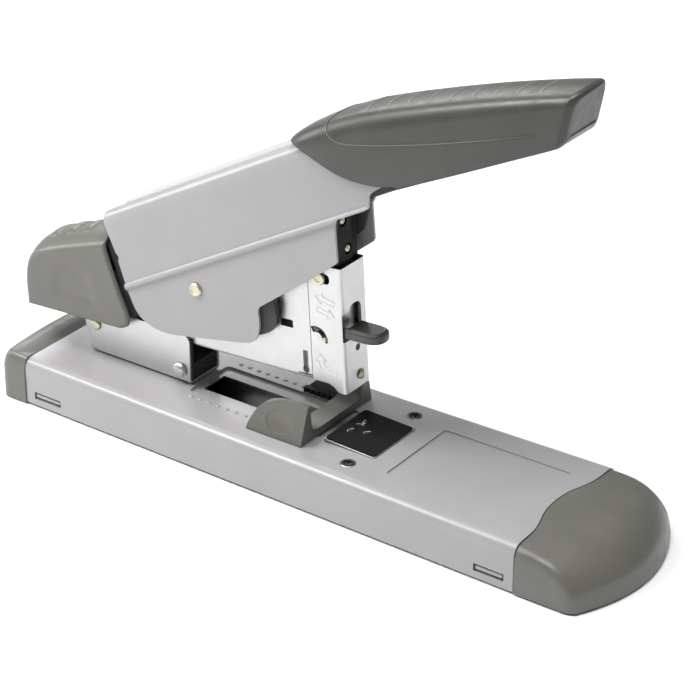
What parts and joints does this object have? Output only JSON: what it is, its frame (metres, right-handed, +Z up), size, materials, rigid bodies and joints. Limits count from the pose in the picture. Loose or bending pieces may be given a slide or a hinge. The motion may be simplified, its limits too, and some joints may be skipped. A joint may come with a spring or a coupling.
{
  "type": "heavy-duty stapler",
  "caption": "Long-arm desk stapler with a sprung lever handle, a tilting staple magazine with a pull-out rail, a sliding paper guide and a release lever at the nose.",
  "frame": {"origin": "middle of the base's box, on the plane its feet stand on", "axes": "+X forward to the nose cap, +Y to the side away from the release lever, +Z up"},
  "size_m": [0.32, 0.0802, 0.2067],
  "materials": {
    "grey_paint": "satin light grey paint",
    "dark_plastic": "fine-textured moulded plastic",
    "grip_plastic": "fine-textured moulded plastic",
    "grip_soft": "soft-touch moulded plastic",
    "nickel": "bright nickel plate",
    "brass_plate": "pale brass plate",
    "black_steel": "black finish",
    "plain_steel": "plain bright steel",
    "rubber": "matt rubber"
  },
  "bodies": {
    "base": {"base_cover": "grey_paint", "nose_cap": "dark_plastic", "rear_cap": "dark_plastic", "bottom_plate": "plain_steel", "foot_rear_near": "rubber", "foot_rear_far": "rubber", "foot_front_near": "rubber", "foot_front_far": "rubber", "base_screw_near": "plain_steel", "base_screw_far": "plain_steel", "anvil_plate": "black_steel", "anvil_carrier": "plain_steel", "guide_rail": "plain_steel", "hinge_bracket": "nickel", "head_pivot_pin": "brass_plate", "bracket_bolt": "nickel", "bracket_nut": "nickel", "stop_block": "black_steel", "head_spring": "plain_steel"},
    "paper_guide": {"paper_guide": "dark_plastic", "guide_foot": "plain_steel", "guide_latch": "plain_steel"},
    "head": {"magazine": "nickel", "front_guide": "black_steel", "staple_strip": "nickel", "nose_pin_near": "brass_plate", "nose_pin_far": "brass_plate", "handle_pivot_pin": "brass_plate", "handle_spring": "plain_steel"},
    "drawer": {"rear_hood": "dark_plastic", "hood_frame": "black_steel", "staple_rail": "plain_steel", "spring_rod": "plain_steel", "pusher_spring": "plain_steel"},
    "pusher": {"pusher": "black_steel"},
    "nose_cover": {"nose_cover": "nickel", "nose_screw": "brass_plate"},
    "release_lever": {"release_lever": "dark_plastic", "lever_cam_pin": "brass_plate"},
    "driver": {"driver_block": "black_steel", "driver_blade": "plain_steel", "drive_pin": "plain_steel", "driver_screw_lower": "brass_plate", "driver_screw_upper": "brass_plate"},
    "handle": {"handle_cover": "grey_paint", "handle_frame": "black_steel", "grip_shell": "grip_plastic", "grip_inlay": "grip_soft"}
  },
  "joints": [
    {"name": "head_tilt", "type": "hinge", "parent": "base", "child": "head", "pos_m": [-0.1206, 0, 0.037], "axis": [0, 1, 0], "range_deg": [0, 8], "stiffness_Nm_per_rad": 3, "springref_deg": -51.57, "deforming": ["head_spring"]},
    {"name": "handle_swing", "type": "hinge", "parent": "head", "child": "handle", "pos_m": [-0.059, 0, 0.0738], "axis": [0, 1, 0], "range_deg": [0, 18], "stiffness_Nm_per_rad": 2.5, "springref_deg": -45.84},
    {"name": "driver_slide", "type": "slide", "parent": "head", "child": "driver", "axis": [0.0541, 0, -0.9985], "range_m": [0, 0.024]},
    {"name": "drawer_slide", "type": "slide", "parent": "head", "child": "drawer", "axis": [-0.9985, 0, -0.0541], "range_m": [0, 0.08]},
    {"name": "pusher_slide", "type": "slide", "parent": "drawer", "child": "pusher", "axis": [-0.9985, 0, -0.0541], "range_m": [0, 0.055], "stiffness_N_per_m": 60, "springref_m": -0.03, "deforming": ["pusher_spring"]},
    {"name": "nose_cover_swing", "type": "hinge", "parent": "head", "child": "nose_cover", "pos_m": [0.00294, 0, 0.09507], "axis": [0, -1, 0], "range_deg": [0, 8]},
    {"name": "release_lever_turn", "type": "hinge", "parent": "nose_cover", "child": "release_lever", "pos_m": [0.0014, 0, 0.06624], "axis": [0, -1, 0], "range_deg": [0, 16]},
    {"name": "guide_slide", "type": "slide", "parent": "base", "child": "paper_guide", "axis": [-1, 0, 0], "range_m": [0, 0.055]}
  ],
  "couplings": [
    {"joint": "driver_slide", "follows": "handle_swing", "m_per_rad": 0.0755}
  ]
}
